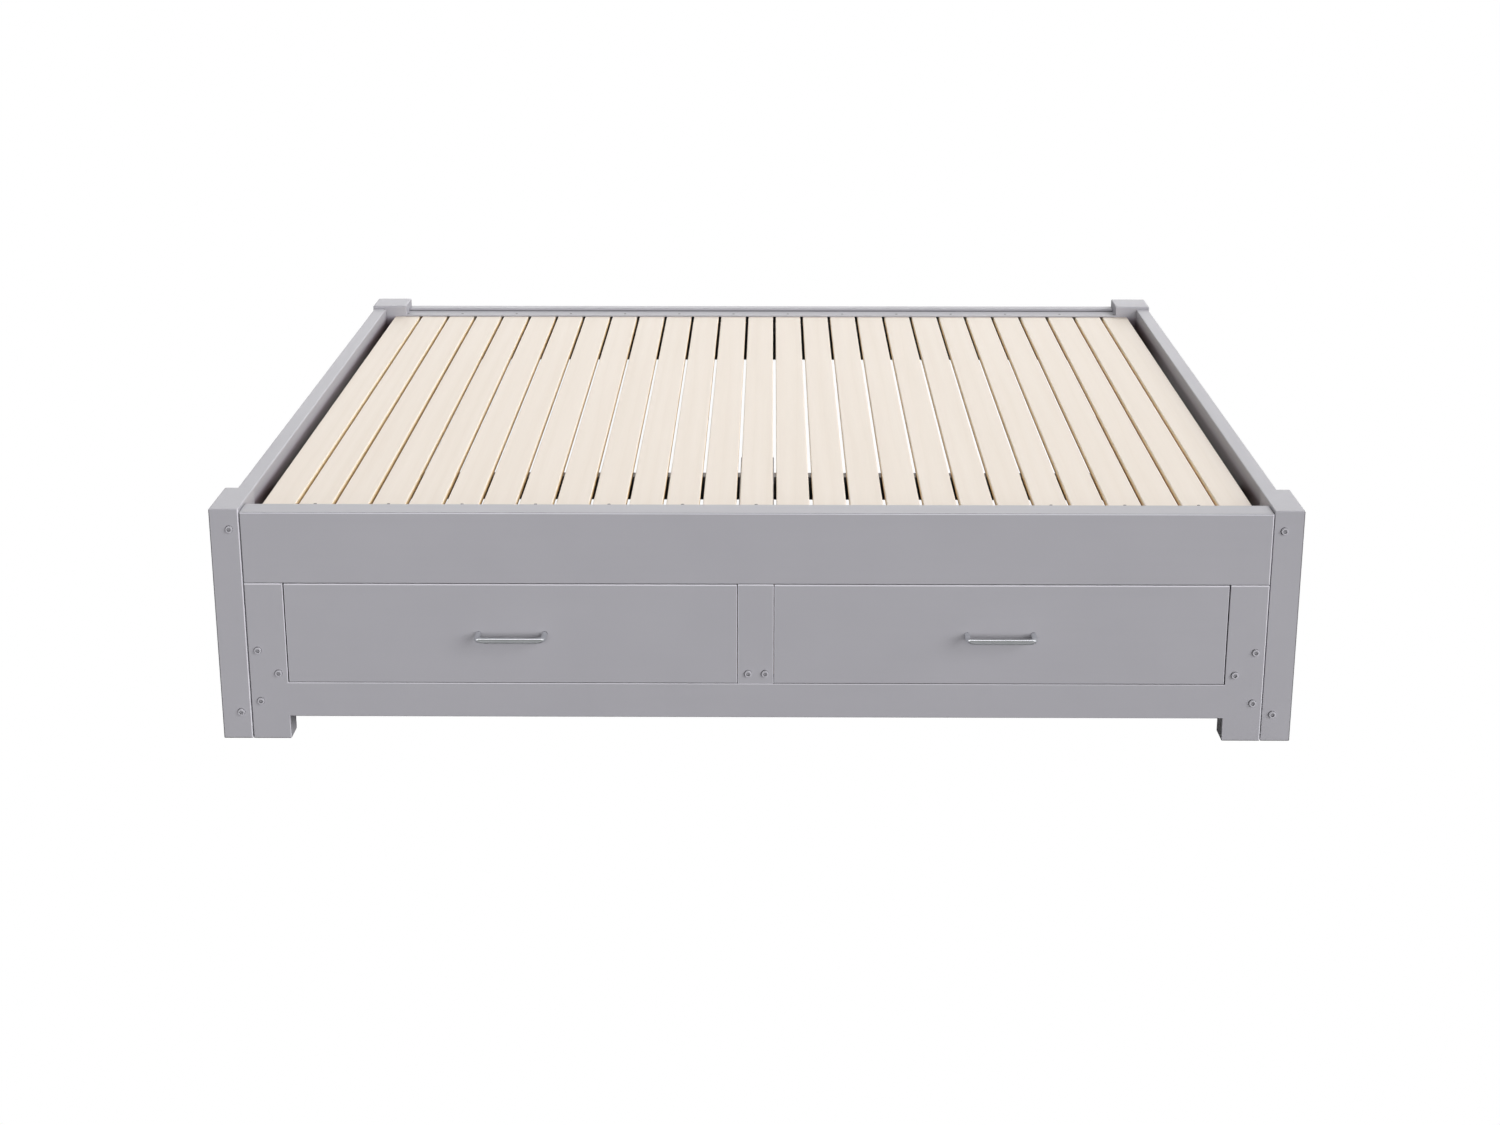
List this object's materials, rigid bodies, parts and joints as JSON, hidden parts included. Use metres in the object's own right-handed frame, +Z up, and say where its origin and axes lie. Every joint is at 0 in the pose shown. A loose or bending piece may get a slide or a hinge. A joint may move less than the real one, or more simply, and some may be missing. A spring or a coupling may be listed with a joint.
{
  "type": "storage daybed",
  "caption": "Low square platform bed frame in grey painted wood, with bare slats running front to back and drawers side by side that slide out under the front rail.",
  "frame": {"origin": "on the floor, at the centre of the footprint, handles included", "axes": "+Z up; the drawer front faces -Y; +X runs along the front, to the right as seen from the front"},
  "size_m": [2.18, 2.1298, 0.49],
  "materials": {
    "painted_wood": "satin grey paint over smooth wood",
    "slat_wood": "planed pale softwood, bare",
    "plain_wood": "planed softwood, bare",
    "plywood": "sanded plywood",
    "handle_steel": "bright satin steel"
  },
  "bodies": {
    "frame": {"left_front_post": "painted_wood", "right_front_post": "painted_wood", "left_back_post": "painted_wood", "right_back_post": "painted_wood", "front_rail": "painted_wood", "back_rail": "painted_wood", "left_side_rail": "painted_wood", "right_side_rail": "painted_wood", "left_leg_board": "painted_wood", "right_leg_board": "painted_wood", "bottom_rail": "painted_wood", "centre_stile": "painted_wood", "slat_end_strip": "painted_wood", "front_slat_ledger": "plain_wood", "back_slat_ledger": "plain_wood", "cross_beam": "painted_wood", "centre_bearer": "painted_wood", "centre_leg": "painted_wood", "left_drawer_rail": "plain_wood", "centre_drawer_rail": "plain_wood", "right_drawer_rail": "plain_wood", "slat_01": "slat_wood", "slat_02": "slat_wood", "slat_03": "slat_wood", "slat_04": "slat_wood", "slat_05": "slat_wood", "slat_06": "slat_wood", "slat_07": "slat_wood", "slat_08": "slat_wood", "slat_09": "slat_wood", "slat_10": "slat_wood", "slat_11": "slat_wood", "slat_12": "slat_wood", "slat_13": "slat_wood", "slat_14": "slat_wood", "slat_15": "slat_wood", "slat_16": "slat_wood", "slat_17": "slat_wood", "slat_18": "slat_wood", "slat_19": "slat_wood", "slat_20": "slat_wood", "slat_21": "slat_wood", "slat_22": "slat_wood", "slat_23": "slat_wood", "slat_24": "slat_wood", "slat_25": "slat_wood", "slat_26": "slat_wood", "slat_27": "slat_wood"},
    "left_drawer": {"left_drawer_front": "painted_wood", "left_drawer_inner_side": "plain_wood", "left_drawer_outer_side": "plain_wood", "left_drawer_back": "plain_wood", "left_drawer_bottom": "plywood", "left_drawer_handle": "handle_steel"},
    "right_drawer": {"right_drawer_front": "painted_wood", "right_drawer_inner_side": "plain_wood", "right_drawer_outer_side": "plain_wood", "right_drawer_back": "plain_wood", "right_drawer_bottom": "plywood", "right_drawer_handle": "handle_steel"}
  },
  "joints": [
    {"name": "left_drawer_slide", "type": "slide", "parent": "frame", "child": "left_drawer", "axis": [0, -1, 0], "range_m": [0, 0.4]},
    {"name": "right_drawer_slide", "type": "slide", "parent": "frame", "child": "right_drawer", "axis": [0, -1, 0], "range_m": [0, 0.4]}
  ]
}
